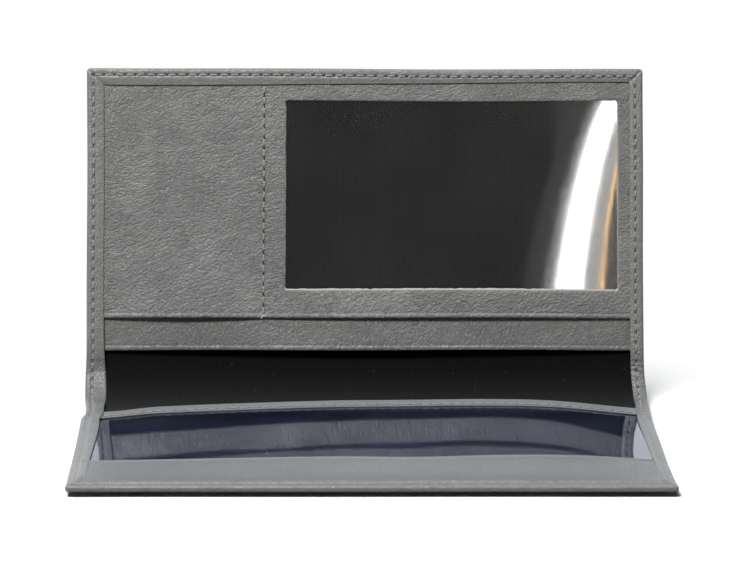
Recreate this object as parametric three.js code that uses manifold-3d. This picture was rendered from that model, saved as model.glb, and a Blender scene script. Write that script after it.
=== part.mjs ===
// Bi-fold checkbook cover, standing open: the lower half lies on the table, the upper half leans back.
// Every piece is drawn as it is cut, in a flat pattern, and then stood up round the curve of the spine.
// In the pattern x runs along the fold, s runs from the lower half across the spine to the upper half,
// and n is the distance in from the outer face of the leather. Sizes are in millimetres.
import * as THREE from "three";
import { mergeVertices } from "three/addons/utils/BufferGeometryUtils.js";
import Module from "manifold-3d";

const wasm = await Module();
wasm.setup();

// Overall form
const WIDTH = 171.5;
const HALF_LENGTH = 87.5;
const SPINE_RADIUS = 19.5;
const OPENING_ANGLE = 105;
const FOLD_SPREAD = 26;
const CORNER_RADIUS = 1.8;

// Plies
const LEATHER = 0.7;
const POCKET_LEATHER = 0.5;
const BINDING_LEATHER = 0.4;
const BOARD = 0.4;
const LINING = 0.2;
const FILM = 0.2;
const PLY_GAP = 0.06;
const FILM_GAP = 0.12;
const SLIP_SLOT = 0.15;
const CARD_SLOT = 0.15;

// Turned edge of the outer leather and its seam
const HEM = 5;
const EDGE_ROUND = 1.1;
const FOLD_GAP = 0.2;
const SKIVE = 0.03;
const SKIVED_LAP = 1;
const MITRE_WIDTH = 0.25;
const MITRE_DEPTH = 0.3;
const SEAM_INSET = 2.3;
const STITCH_PITCH = 3.2;
const THREAD_WIDTH = 0.7;
const THREAD_RISE = 0.3;
const THREAD_BASE = 0.12;

// Clear pocket of the lower half, its mouth towards the spine
const MOUTH_SETBACK = 4;
const BINDING_WIDTH = 7.5;
const BINDING_SEAM_INSET = 1.6;
const BAND_LENGTH = 25.5;
const POCKET_ARCH = 4.3;
const ARCH_POWER = 3;

// Pockets of the upper half: their mouths set back from the spine, and the window from the edges of its panel
const FACING_SETBACK = 0.6;
const PANEL_SETBACK = 10.5;
const FACING_TUCK = 8;
const LIP_WIDTH = 2.5;
const LIP_RISE = 0.3;
const WINDOW_LEFT = 61.5;
const WINDOW_RIGHT = 7.8;
const WINDOW_TOP = 9.8;
const WINDOW_FOOT = 8.6;
const WINDOW_RADIUS = 0.7;
const DIVIDER_LEFT = 54.5;

// Fineness of the curves
const ARC_STEP = THREE.MathUtils.degToRad(3.75);
const FLAT_STEP = 5;
const ARCH_STEPS = 24;
const ROUND_STEPS = 2;
const JOIN = 0.02;

// Places along the flat pattern
const TURN = THREE.MathUtils.degToRad(180 - OPENING_ANGLE);
const SPINE_LENGTH = SPINE_RADIUS * TURN;
const LOWER_FOLD = (SPINE_RADIUS * (TURN - THREE.MathUtils.degToRad(FOLD_SPREAD))) / 2;
const UPPER_FOLD = SPINE_LENGTH - LOWER_FOLD;
const LOWER = { root: 0, out: -1 };
const UPPER = { root: SPINE_LENGTH, out: 1 };
// The plies are cut back so that their square corners clear the rounded corners of the turned edge.
const EDGE_FIT = LEATHER + PLY_GAP + (CORNER_RADIUS - LEATHER) * (1 - Math.SQRT1_2);
const SHEET_WIDTH = WIDTH - 2 * EDGE_FIT;
// The arch of the clear pocket springs from the last step of its curve inside the side hems.
const ARCH_SPAN = (SHEET_WIDTH / 2) * (1 - 2 / ARCH_STEPS);

// Heights of the plies above the outer face
const BOARD_AT = LEATHER + PLY_GAP;
const LINING_AT = BOARD_AT + BOARD + PLY_GAP;
const INNER_FACE = LINING_AT + LINING;
const BINDING_AT = INNER_FACE + PLY_GAP;
const POCKET_FILM_AT = BINDING_AT + BINDING_LEATHER + PLY_GAP;
const OVER_FILM = POCKET_FILM_AT + FILM + FILM_GAP;
const BINDING_TOP = OVER_FILM + BINDING_LEATHER;
const BAND_TOP = OVER_FILM + POCKET_LEATHER;
const SLIP_LINING_AT = INNER_FACE + SLIP_SLOT;
const FACING_AT = SLIP_LINING_AT + LINING + PLY_GAP;
const PANEL_AT = FACING_AT + POCKET_LEATHER + CARD_SLOT;
const PANEL_TOP = PANEL_AT + POCKET_LEATHER;
const WINDOW_FILM_AT = PANEL_AT - PLY_GAP - FILM;
const LOWER_HEM_AT = BAND_TOP + PLY_GAP;
const UPPER_HEM_AT = PANEL_TOP + PLY_GAP;
const SPINE_HEM_AT = INNER_FACE + PLY_GAP;

// Distance v from the spine, on one half, as a place s on the flat pattern
const onHalf = (half, v) => half.root + half.out * v;
const LOWER_EDGE = onHalf(LOWER, HALF_LENGTH - EDGE_FIT);
const UPPER_EDGE = onHalf(UPPER, HALF_LENGTH - EDGE_FIT);

// Height of the hem's underside: it steps down to the bare lining where it crosses the spine.
function hemHeight(s) {
  const lower = 1 - THREE.MathUtils.smoothstep(s, 0, LOWER_FOLD);
  const upper = THREE.MathUtils.smoothstep(s, UPPER_FOLD, SPINE_LENGTH);
  return SPINE_HEM_AT + lower * (LOWER_HEM_AT - SPINE_HEM_AT) + upper * (UPPER_HEM_AT - SPINE_HEM_AT);
}

// Height of a thread that lies on the hem
const onHem = (x, s) => hemHeight(s) + LEATHER + PLY_GAP;

// Rise of the clear pocket: its mouth bows up between the two side hems, and lies flat at the front hem.
function pocketRise(x, s) {
  const across = Math.max(1 - (x / ARCH_SPAN) ** 2, 0);
  const flat = HEM + FLAT_STEP;
  const along = (s + HALF_LENGTH - flat) / (HALF_LENGTH - flat - MOUTH_SETBACK);
  const fall = 1 - THREE.MathUtils.clamp(along, 0, 1);
  return POCKET_ARCH * across * (1 - fall ** ARCH_POWER);
}

// Place of a pattern point (s, n) on the standing cover, as its y and z.
function stand(s, n) {
  const turn = THREE.MathUtils.clamp(s / SPINE_RADIUS, 0, TURN);
  const straight = s - turn * SPINE_RADIUS;
  const radius = SPINE_RADIUS - n;
  const y = radius * Math.sin(turn) + straight * Math.cos(turn);
  const z = SPINE_RADIUS - radius * Math.cos(turn) + straight * Math.sin(turn);
  return [y, z];
}

// Stands a flat-pattern geometry up, each point raised first by rise(x, s, n).
function standUp(geometry, rise = () => 0) {
  const points = geometry.getAttribute("position");
  for (let i = 0; i < points.count; i++) {
    const x = points.getX(i);
    const s = points.getY(i);
    const n = points.getZ(i);
    const [y, z] = stand(s, n + rise(x, s, n));
    points.setXYZ(i, x, y, z);
  }
  return geometry;
}

// Closed body for joining and cutting
function bodyOf(geometry) {
  const loose = geometry.index ? geometry.toNonIndexed() : geometry;
  const bare = new THREE.BufferGeometry().setAttribute("position", loose.getAttribute("position"));
  const welded = mergeVertices(bare, 1e-4);
  const vertProperties = new Float32Array(welded.getAttribute("position").array);
  const triVerts = new Uint32Array(welded.index.array);
  return new wasm.Manifold(new wasm.Mesh({ numProp: 3, vertProperties, triVerts }));
}

function geometryOf(body) {
  const mesh = body.getMesh();
  const geometry = new THREE.BufferGeometry();
  geometry.setAttribute("position", new THREE.BufferAttribute(mesh.vertProperties, 3));
  geometry.setIndex(new THREE.BufferAttribute(mesh.triVerts, 1));
  geometry.computeVertexNormals();
  return geometry;
}

// Plan outline (x, s) given a thickness
function slab(plan, at, thickness) {
  const settings = { depth: thickness, bevelEnabled: false };
  return new THREE.ExtrudeGeometry(plan, settings).translate(0, 0, at);
}

// Section (s, n) drawn out along x
function alongFold(section, width, steps = 1) {
  const geometry = new THREE.ExtrudeGeometry(section, { depth: width, steps, bevelEnabled: false });
  const axes = [new THREE.Vector3(0, 1, 0), new THREE.Vector3(0, 0, 1), new THREE.Vector3(1, 0, 0)];
  geometry.applyMatrix4(new THREE.Matrix4().makeBasis(...axes));
  return geometry.translate(-width / 2, 0, 0);
}

// Section (x, n) drawn out along s
function acrossFold(section, from, to, steps) {
  const settings = { depth: to - from, steps, curveSegments: ROUND_STEPS, bevelEnabled: false };
  const geometry = new THREE.ExtrudeGeometry(section, settings);
  const axes = [new THREE.Vector3(1, 0, 0), new THREE.Vector3(0, 0, 1), new THREE.Vector3(0, -1, 0)];
  geometry.applyMatrix4(new THREE.Matrix4().makeBasis(...axes));
  return geometry.translate(0, to, 0);
}

// Places from one s to another, close together where the sheet has to curve. On a flat part they are whole
// steps from its start, so that plies which lie on each other share their places. The last step of a flat
// part may be a little longer.
function stations(from, to, flatStep = HALF_LENGTH) {
  const places = [from];
  let last = from;
  while (last < to) {
    const curved = last >= 0 && last < SPINE_LENGTH;
    const stop = last < 0 ? Math.min(0, to) : last < SPINE_LENGTH ? Math.min(SPINE_LENGTH, to) : to;
    const arcSteps = Math.max(Math.ceil((stop - last) / (SPINE_RADIUS * ARC_STEP) - 1e-6), 1);
    const step = curved ? (stop - last) / arcSteps : flatStep;
    const count = Math.max(Math.round((stop - last) / step), 1);
    for (let i = 1; i < count; i++) {
      places.push(last + i * step);
    }
    places.push(stop);
    last = stop;
  }
  return places;
}

// Plain sheet of the full inside width through the given places
function sheet(places, at, thickness, steps = 1, rise = () => 0) {
  const count = places.length - 1;
  const ply = new THREE.BoxGeometry(SHEET_WIDTH, count, thickness, steps, count, 1);
  ply.translate(0, count / 2, at + thickness / 2);
  const points = ply.getAttribute("position");
  for (let i = 0; i < points.count; i++) {
    points.setY(i, places[Math.round(points.getY(i))]);
  }
  return standUp(ply, rise);
}

// Pocket leather from its mouth edge to its sewn edge. The mouth edge is turned, so it has a round nose and,
// between the side hems, a raised lip.
function pocketLeather(mouth, sewn, at, steps = 1, rise = () => 0) {
  const inwards = Math.sign(sewn - mouth);
  const top = at + POCKET_LEATHER;
  const middle = at + POCKET_LEATHER / 2;
  const nose = mouth + (inwards * POCKET_LEATHER) / 2;
  const far = stations(Math.min(nose, sewn), Math.max(nose, sewn), FLAT_STEP);
  const outward = inwards > 0 ? far : far.reverse();
  const ply = new THREE.Shape();
  ply.moveTo(nose, at);
  outward.slice(1).forEach((s) => ply.lineTo(s, at));
  outward.reverse().forEach((s) => ply.lineTo(s, top));
  ply.quadraticCurveTo(mouth, top, mouth, middle);
  ply.quadraticCurveTo(mouth, at, nose, at);
  const lip = new THREE.Shape();
  lip.moveTo(nose, middle);
  lip.quadraticCurveTo(nose, top + LIP_RISE, nose + (inwards * LIP_WIDTH) / 2, top + LIP_RISE);
  lip.quadraticCurveTo(nose + inwards * LIP_WIDTH, top + LIP_RISE, nose + inwards * LIP_WIDTH, middle);
  lip.closePath();
  const sheetBody = bodyOf(standUp(alongFold(ply, SHEET_WIDTH, steps), rise));
  const lipBody = bodyOf(standUp(alongFold(lip, WIDTH - 2 * (HEM + PLY_GAP), steps), rise));
  return sheetBody.add(lipBody);
}

// Plan of one half, inset from its three free edges, running past its root by a given length
function halfPlan(half, inset, past = 0) {
  const x = WIDTH / 2 - inset;
  const root = onHalf(half, -past);
  const free = onHalf(half, HALF_LENGTH - inset);
  const radius = Math.max(CORNER_RADIUS - inset, PLY_GAP);
  const plan = new THREE.Shape();
  plan.moveTo(-x, root);
  plan.lineTo(-x, free - half.out * radius);
  plan.quadraticCurveTo(-x, free, -x + radius, free);
  plan.lineTo(x - radius, free);
  plan.quadraticCurveTo(x, free, x, free - half.out * radius);
  plan.lineTo(x, root);
  plan.closePath();
  return plan;
}

// Groove where the two turned edges meet at a corner of the hem
function mitre(half, side, top) {
  const groove = new THREE.BoxGeometry(HEM * Math.SQRT2, MITRE_WIDTH, 2 * MITRE_DEPTH);
  groove.rotateZ((side * half.out * Math.PI) / 4);
  const x = side * (WIDTH / 2 - HEM / 2);
  return bodyOf(groove.translate(x, onHalf(half, HALF_LENGTH - HEM / 2), top));
}

// Flat part of the outer leather: skin, rounded folds at three edges, and the hem turned in over the plies
function turnedHalf(half, hemAt) {
  const top = hemAt + LEATHER;
  const past = 3 * EDGE_ROUND;
  const round = {
    depth: top - 2 * EDGE_ROUND,
    bevelThickness: EDGE_ROUND,
    bevelSize: EDGE_ROUND,
    bevelOffset: -EDGE_ROUND,
    bevelSegments: 2 * ROUND_STEPS,
    curveSegments: 5,
  };
  const envelope = new THREE.ExtrudeGeometry(halfPlan(half, 0, past), round).translate(0, 0, EDGE_ROUND);
  const inside = bodyOf(slab(halfPlan(half, LEATHER, 2 * past), LEATHER, hemAt - LEATHER));
  const mouth = bodyOf(slab(halfPlan(half, HEM, 2 * past), hemAt - JOIN, 2 * LEATHER));
  const beyond = new THREE.BoxGeometry(2 * WIDTH, 4 * past, 4 * top);
  const trim = bodyOf(beyond.translate(0, onHalf(half, -2 * past), 0));
  let skin = bodyOf(envelope).subtract(inside).subtract(mouth).subtract(trim);
  for (const side of [-1, 1]) {
    skin = skin.subtract(mitre(half, side, top));
  }
  return standUp(geometryOf(skin));
}

// Curved part of the outer leather, skived a little thinner, with its two side hems
function turnedSpine(from, to) {
  const hemAt = UPPER_HEM_AT + SKIVE;
  const top = UPPER_HEM_AT + LEATHER - SKIVE;
  const edge = WIDTH / 2 - SKIVE;
  const wall = WIDTH / 2 - LEATHER + SKIVE;
  const lip = WIDTH / 2 - HEM + SKIVE;
  const face = LEATHER - SKIVE;
  const r = EDGE_ROUND;
  const section = new THREE.Shape();
  section.moveTo(-edge + r, SKIVE);
  section.lineTo(edge - r, SKIVE);
  section.absarc(edge - r, SKIVE + r, r, -Math.PI / 2, 0, false);
  section.lineTo(edge, top - r);
  section.absarc(edge - r, top - r, r, 0, Math.PI / 2, false);
  section.lineTo(lip, top);
  section.lineTo(lip, hemAt);
  section.lineTo(wall, hemAt);
  section.lineTo(wall, face);
  section.lineTo(-wall, face);
  section.lineTo(-wall, hemAt);
  section.lineTo(-lip, hemAt);
  section.lineTo(-lip, top);
  section.lineTo(-edge + r, top);
  section.absarc(-edge + r, top - r, r, Math.PI / 2, Math.PI, false);
  section.lineTo(-edge, SKIVE + r);
  section.absarc(-edge + r, SKIVE + r, r, Math.PI, 1.5 * Math.PI, false);
  const steps = Math.ceil((to - from) / (SPINE_RADIUS * ARC_STEP));
  const settle = (x, s, n) => {
    const share = THREE.MathUtils.clamp((n - LEATHER) / (hemAt - LEATHER), 0, 1);
    return share * (hemHeight(s) - hemAt);
  };
  return standUp(acrossFold(section, from, to, steps), settle);
}

// Row of stitches along x: the thread bows up between one needle hole and the next.
function stitches(from, to) {
  const count = Math.round((to - from) / STITCH_PITCH);
  const row = new THREE.BoxGeometry(to - from, THREAD_WIDTH, THREAD_BASE, 2 * count, 1, 1);
  row.translate((from + to) / 2, 0, THREAD_BASE / 2);
  const halfStitch = (to - from) / (2 * count);
  const points = row.getAttribute("position");
  for (let i = 0; i < points.count; i++) {
    const betweenHoles = Math.round((points.getX(i) - from) / halfStitch) % 2 === 1;
    if (betweenHoles && points.getZ(i) > THREAD_BASE / 2) {
      points.setZ(i, THREAD_BASE + THREAD_RISE);
    }
  }
  return row;
}

// The same row turned to run along s
const stitchesAcross = (from, to) => stitches(from, to).rotateZ(Math.PI / 2);

// Seam along a side hem, following it down over the spine
function sideSeam(side, from, to) {
  const row = stitchesAcross(from, to).translate(side * (WIDTH / 2 - SEAM_INSET), 0, 0);
  return standUp(row, onHem);
}

// Seam along the free edge of one half, between the two side seams
function edgeSeam(half) {
  const reach = WIDTH / 2 - SEAM_INSET - THREAD_WIDTH;
  const row = stitches(-reach, reach).translate(0, onHalf(half, HALF_LENGTH - SEAM_INSET), 0);
  return standUp(row, onHem);
}

// Outer leather of one half, with its share of the spine's curve up to the fold line
function cover(half, hemAt, from, to) {
  return geometryOf(bodyOf(turnedHalf(half, hemAt)).add(bodyOf(turnedSpine(from, to))));
}

// Clear sheet of the lower pocket
function pocketFilm() {
  const back = onHalf(LOWER, MOUTH_SETBACK + BINDING_LEATHER + PLY_GAP);
  return sheet(stations(LOWER_EDGE, back, FLAT_STEP), POCKET_FILM_AT, FILM, ARCH_STEPS, pocketRise);
}

// Leather strip folded over the mouth edge of the clear sheet
function pocketBinding() {
  const mouth = onHalf(LOWER, MOUTH_SETBACK);
  const front = mouth - BINDING_WIDTH;
  const inner = mouth - BINDING_LEATHER;
  const middle = (BINDING_AT + BINDING_TOP) / 2;
  const nose = mouth - (BINDING_TOP - BINDING_AT) / 2;
  const section = new THREE.Shape();
  section.moveTo(front, BINDING_AT);
  section.lineTo(nose, BINDING_AT);
  section.quadraticCurveTo(mouth, BINDING_AT, mouth, middle);
  section.quadraticCurveTo(mouth, BINDING_TOP, nose, BINDING_TOP);
  section.lineTo(front, BINDING_TOP);
  section.lineTo(front, OVER_FILM);
  section.lineTo(inner, OVER_FILM);
  section.lineTo(inner, BINDING_AT + BINDING_LEATHER);
  section.lineTo(front, BINDING_AT + BINDING_LEATHER);
  section.closePath();
  return standUp(alongFold(section, SHEET_WIDTH, ARCH_STEPS), pocketRise);
}

function bindingSeam() {
  const place = onHalf(LOWER, MOUTH_SETBACK + BINDING_WIDTH - BINDING_SEAM_INSET);
  const reach = WIDTH / 2 - HEM - PLY_GAP;
  const row = stitches(-reach, reach).translate(0, place, 0);
  return standUp(row, (x) => BINDING_TOP + PLY_GAP + pocketRise(x, place));
}

// Leather band over the front of the clear sheet, its rear edge turned
function pocketBand() {
  const rear = onHalf(LOWER, HALF_LENGTH - BAND_LENGTH);
  return geometryOf(pocketLeather(rear, LOWER_EDGE, OVER_FILM, ARCH_STEPS, pocketRise));
}

// Leather facing along the mouth of the slip pocket behind the window panel
function slipFacing() {
  const mouth = onHalf(UPPER, FACING_SETBACK);
  const sewn = onHalf(UPPER, PANEL_SETBACK + FACING_TUCK);
  return geometryOf(pocketLeather(mouth, sewn, FACING_AT));
}

// Rounded rectangle for the cut-out in the window panel
function windowOutline() {
  const left = -WIDTH / 2 + WINDOW_LEFT;
  const right = WIDTH / 2 - WINDOW_RIGHT;
  const top = onHalf(UPPER, HALF_LENGTH - WINDOW_TOP);
  const bottom = onHalf(UPPER, PANEL_SETBACK + WINDOW_FOOT);
  const r = WINDOW_RADIUS;
  const outline = new THREE.Shape();
  outline.moveTo(left + r, bottom);
  outline.lineTo(right - r, bottom);
  outline.quadraticCurveTo(right, bottom, right, bottom + r);
  outline.lineTo(right, top - r);
  outline.quadraticCurveTo(right, top, right - r, top);
  outline.lineTo(left + r, top);
  outline.quadraticCurveTo(left, top, left, top - r);
  outline.lineTo(left, bottom + r);
  outline.quadraticCurveTo(left, bottom, left + r, bottom);
  return outline;
}

// Leather panel with the card pocket on its left and the window pocket on its right
function windowPanel() {
  const mouth = onHalf(UPPER, PANEL_SETBACK);
  const cut = slab(windowOutline(), PANEL_AT - POCKET_LEATHER, 3 * POCKET_LEATHER);
  return geometryOf(pocketLeather(mouth, UPPER_EDGE, PANEL_AT).subtract(bodyOf(standUp(cut))));
}

// Clear sheet behind the window, from the divider seam to the side hem
function windowFilm() {
  const left = -WIDTH / 2 + DIVIDER_LEFT + THREAD_WIDTH;
  const right = SHEET_WIDTH / 2;
  const bottom = onHalf(UPPER, PANEL_SETBACK + FACING_TUCK + PLY_GAP);
  const top = UPPER_EDGE;
  const film = new THREE.BoxGeometry(right - left, top - bottom, FILM);
  return standUp(film.translate((left + right) / 2, (bottom + top) / 2, WINDOW_FILM_AT + FILM / 2));
}

function dividerSeam() {
  const from = onHalf(UPPER, PANEL_SETBACK + POCKET_LEATHER + LIP_WIDTH);
  const to = onHalf(UPPER, HALF_LENGTH - HEM - PLY_GAP);
  const row = stitchesAcross(from, to).translate(-WIDTH / 2 + DIVIDER_LEFT, 0, 0);
  return standUp(row, () => PANEL_TOP + PLY_GAP);
}

const finish = (color, roughness, extra = {}) => ({ color, roughness, metalness: 0, ...extra });
const GREY_LEATHER = finish(0x77767a, 0.55);
const GREY_POCKET = finish(0x807f80, 0.55);
const BLACK_LINING = finish(0x1d1d1e, 0.85);
const GREY_BOARD = finish(0x8d8577, 0.9);
const CLEAR_FILM = finish(0xc9d2d8, 0.12, { transparent: true, opacity: 0.35 });
const SEWING_THREAD = finish(0xa9a49a, 0.7);

const standing = new THREE.Group();

function add(name, geometry, settings) {
  const mesh = new THREE.Mesh(geometry, new THREE.MeshStandardMaterial(settings));
  mesh.name = name;
  standing.add(mesh);
}

const LOWER_STOP = LOWER_FOLD - FOLD_GAP / 2;
const SPINE_FROM = LOWER_FOLD + FOLD_GAP / 2;
const SPINE_TO = UPPER_FOLD - FOLD_GAP / 2;
const UPPER_STOP = UPPER_FOLD + FOLD_GAP / 2;
const LOWER_CORNER = onHalf(LOWER, HALF_LENGTH - SEAM_INSET);
const UPPER_CORNER = onHalf(UPPER, HALF_LENGTH - SEAM_INSET);
const SLIP_EDGE = onHalf(UPPER, FACING_SETBACK + POCKET_LEATHER);

add("lower_cover", cover(LOWER, LOWER_HEM_AT, LOWER.root - SKIVED_LAP, LOWER_STOP), GREY_LEATHER);
add("lower_board", sheet(stations(LOWER_EDGE, LOWER.root), BOARD_AT, BOARD), GREY_BOARD);
add("lower_lining", sheet(stations(LOWER_EDGE, LOWER_STOP), LINING_AT, LINING), BLACK_LINING);
add("pocket_film", pocketFilm(), CLEAR_FILM);
add("pocket_binding", pocketBinding(), GREY_POCKET);
add("pocket_band", pocketBand(), GREY_POCKET);
add("lower_seam_left", sideSeam(-1, LOWER_CORNER, LOWER_STOP), SEWING_THREAD);
add("lower_seam_right", sideSeam(1, LOWER_CORNER, LOWER_STOP), SEWING_THREAD);
add("lower_seam_front", edgeSeam(LOWER), SEWING_THREAD);
add("binding_seam", bindingSeam(), SEWING_THREAD);

add("spine_cover", turnedSpine(SPINE_FROM, SPINE_TO), GREY_LEATHER);
add("spine_lining", sheet(stations(SPINE_FROM, SPINE_TO), LINING_AT, LINING), BLACK_LINING);
add("spine_seam_left", sideSeam(-1, SPINE_FROM, SPINE_TO), SEWING_THREAD);
add("spine_seam_right", sideSeam(1, SPINE_FROM, SPINE_TO), SEWING_THREAD);

add("upper_cover", cover(UPPER, UPPER_HEM_AT, UPPER_STOP, UPPER.root + SKIVED_LAP), GREY_LEATHER);
add("upper_board", sheet(stations(UPPER.root, UPPER_EDGE), BOARD_AT, BOARD), GREY_BOARD);
add("upper_lining", sheet(stations(UPPER_STOP, UPPER_EDGE), LINING_AT, LINING), BLACK_LINING);
add("slip_lining", sheet(stations(SLIP_EDGE, UPPER_EDGE), SLIP_LINING_AT, LINING), BLACK_LINING);
add("slip_facing", slipFacing(), GREY_POCKET);
add("window_film", windowFilm(), CLEAR_FILM);
add("window_panel", windowPanel(), GREY_POCKET);
add("upper_seam_left", sideSeam(-1, UPPER_STOP, UPPER_CORNER), SEWING_THREAD);
add("upper_seam_right", sideSeam(1, UPPER_STOP, UPPER_CORNER), SEWING_THREAD);
add("upper_seam_top", edgeSeam(UPPER), SEWING_THREAD);
add("divider_seam", dividerSeam(), SEWING_THREAD);

// The cover stands on the table with the origin under the middle of its box.
const box = new THREE.Box3().setFromObject(standing);
const centre = box.getCenter(new THREE.Vector3());
standing.position.set(-centre.x, -centre.y, -box.min.z);

const checkbookCover = new THREE.Group();
checkbookCover.add(standing);

export default checkbookCover;
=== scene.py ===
"""Looks of a grey leather checkbook cover that stands open on a table.

Every piece is drawn as it is cut, on the flat pattern that the solids use, and then stood up
round the spine. In the pattern x runs along the fold, s from the lower half (below 0) across the
spine to the upper half, and n in from the outer face of the leather. Pattern sizes are in
millimetres, and the scene is in metres.
"""

import math

import bmesh
import bpy
import numpy as np
from mathutils import Matrix, Vector


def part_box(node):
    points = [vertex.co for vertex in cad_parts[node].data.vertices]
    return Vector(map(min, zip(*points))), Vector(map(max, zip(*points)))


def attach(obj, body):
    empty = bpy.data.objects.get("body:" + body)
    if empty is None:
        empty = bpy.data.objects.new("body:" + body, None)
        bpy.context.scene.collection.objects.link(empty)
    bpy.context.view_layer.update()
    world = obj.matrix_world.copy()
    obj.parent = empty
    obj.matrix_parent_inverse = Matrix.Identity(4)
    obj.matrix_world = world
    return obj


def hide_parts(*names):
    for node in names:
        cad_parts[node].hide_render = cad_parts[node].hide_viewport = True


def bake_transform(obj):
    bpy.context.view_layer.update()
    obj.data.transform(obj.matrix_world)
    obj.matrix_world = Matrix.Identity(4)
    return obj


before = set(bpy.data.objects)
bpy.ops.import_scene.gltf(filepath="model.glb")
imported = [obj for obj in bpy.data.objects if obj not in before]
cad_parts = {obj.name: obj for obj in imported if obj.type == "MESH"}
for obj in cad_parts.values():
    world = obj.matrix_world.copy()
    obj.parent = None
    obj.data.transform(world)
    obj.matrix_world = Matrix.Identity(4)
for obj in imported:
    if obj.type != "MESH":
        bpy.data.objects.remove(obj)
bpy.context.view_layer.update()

MM = 0.001
TINY = 1e-6

# Flat pattern of the solids
WIDTH = 171.5
EDGE = WIDTH / 2
HALF = 87.5
SPINE_RADIUS = 19.5
TURN = math.radians(75)
BETWEEN_FOLDS = math.radians(26)
SPINE = SPINE_RADIUS * TURN
MIDDLE = SPINE / 2
LOWER_FOLD = SPINE_RADIUS * (TURN - BETWEEN_FOLDS) / 2
UPPER_FOLD = SPINE - LOWER_FOLD
CORNER = 1.2
REACH = MIDDLE + HALF
TO_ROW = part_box("lower_cover")[0].y / MM + HALF

# Heights of the plies above the outer face
LEATHER = 0.7
BOARD_TOP = 1.16
BOARD_CARD = 0.4
INNER_FACE = 1.42
LINING = 0.2
LINING_WAVE = 0.05
FILM = 0.2
PLY_GAP = 0.06
POCKET_LEATHER = 0.5
BINDING_LOW, BINDING_HIGH = 1.48, 2.66
BINDING_LEATHER = 0.4
POCKET_FILM_TOP = 2.14
BAND_AT = 2.26
SLIP_LINING_TOP = 1.77
FACING_AT = 1.83
WINDOW_FILM_TOP = 2.42
PANEL_AT = 2.48
PANEL_TOP = PANEL_AT + POCKET_LEATHER
LOWER_HEM_AT = 2.82
UPPER_HEM_AT = 3.04
SPINE_HEM_AT = 1.48

# Turned edge
HEM_LEFT, HEM_RIGHT = 5.3, 4.2
HEM_BULGE, HEM_BULGE_AT, HEM_BULGE_REACH = 1.1, 12, 11
HEM_TAPER, HEM_TAPER_S = 0.55, (-25, -60)
HEM_WIDER, HEM_WIDER_S = 0.6, (0, -25)
HEM_STEP = 7.0
SIDE_SKIVE, FRONT_SKIVE = 0.3, 0.45
FRONT_PARED = 0.4
NEAR_FRONT_S = (-50, -80)
EDGE_FULL, EDGE_PRESSED, EDGE_PRESSED_S = 0.97, 0.6, (0, -60)
EDGE_ROUND = 0.9
RAW_EDGE = 1.6
MITRE = 0.28
SKIN = 8.0
UNDER_HEM = 3.4
INSIDE = EDGE - UNDER_HEM
FRONT_END, TOP_END = -HALF + UNDER_HEM, SPINE + HALF - UNDER_HEM
STATION = 0.55
FIRST_STATION = 0.15

# Seams
SEAM_LEFT, SEAM_RIGHT = 2.1, 2.5
FREE_ROW = WIDTH - SEAM_LEFT - SEAM_RIGHT
OUTER_THREAD_AT = 0.3
STITCH = 3.2
STITCH_GAP = 0.95
STITCH_POINTS = 13
THREAD = 0.27
THREAD_SIDES = 8
HOLE_LENGTH, HOLE_WIDTH, HOLE_SLANT = 1.0, 0.35, 0.2
HOLE_POINTS = 10
HOLE_DIMPLE = 0.45
HOLE_SUNK = 0.02

# Bends of a used cover
FRONT_LIFT, FRONT_LIFT_POWER = 1.6, 7
SPINE_SWELL, SWELL_AT, SWELL_REACH = 0.007, 7, 11
EDGE_PINCH, PINCH_LEFT, PINCH_KINK, PINCH_END = 1.15, (-55, -80), (-15, -10), (20, -2)
PUFF_FRONT, PUFF_FRONT_X = 1.3, (15, 69)
PUFF_REAR, PUFF_REAR_X = 0.85, (8, 56)
PUFF_SETTLES, PUFF_SETTLES_X = 0.6, (56, 78)
PUFF_ENDS_FRONT, PUFF_ENDS_REAR, PUFF_ENDS_RIGHT = (-83, -67), (4, -5), (85, 80.5)
UNEVEN = 0.16

# Clear pocket
MOUTH = -4.0
BINDING_FRONT = -10.6
BINDING_SEAM = BINDING_FRONT + 1.0
MOUTH_SLANT, MOUTH_SLANT_X = 2.8, (-62, -80)
BAND_REAR = -65.0
BAND_ARCH = 2.7
MOUTH_ARCH = 2.9
ARCH_SKEW = 0.35
ARCH_SPAN = 81.0
ARCH_FOOT = -80.5
TRIM_MIDDLE, TRIM_SPAN = 8, 78
TRIM_LEFT, TRIM_RIGHT = 3.4, 0.9
TRIM_DIP, TRIM_DIP_AT, TRIM_DIP_REACH = 1.3, 11, 15
TRIM_ALL = 0.1
FILM_DIP_LEFT, FILM_DIP_RIGHT, FILM_DIP_X = 0.16, 0.05, (77, 82)
FILM_STRAIGHT_X = (80.5, 68.5)
FILM_RAISED, FILM_RAISED_X, FILM_RAISED_S = 0.3, (68, 79), (-15, -50)

# Slip pocket, card pocket and window
NOSE = 0.85
TURNED_IN = (8.0, 4.0, 1.6)
BAND_LIP, FACING_LIP, PANEL_LIP = 0.25, 0.1, 0.25
SLIP_GAPE, SLIP_GAPE_DEPTH = 1.8, 40
CARD_GAPE, WINDOW_GAPE = 0.9, 0.6
PANEL_GAPE_DEPTH, PANEL_GAPE_POWER = 34, 2.2
SLIP_FROM = 1.1
FACING_MOUTH = SPINE + 0.6
FACING_END = SPINE + 18.5
PANEL_MOUTH = SPINE + 10.5
PANEL_SIDE = EDGE - 5
DIVIDER = -EDGE + 54.5
WINDOW_LEFT, WINDOW_RIGHT = -EDGE + 60.9, EDGE - 7.8
WINDOW_FOOT = SPINE + 19.1
WINDOW_TOP = SPINE + HALF - 9.8
WINDOW_RADIUS = 0.6
WINDOW_FILM_LEFT = DIVIDER + 0.7
WINDOW_FILM_FOOT = SPINE + 18.6
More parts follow.
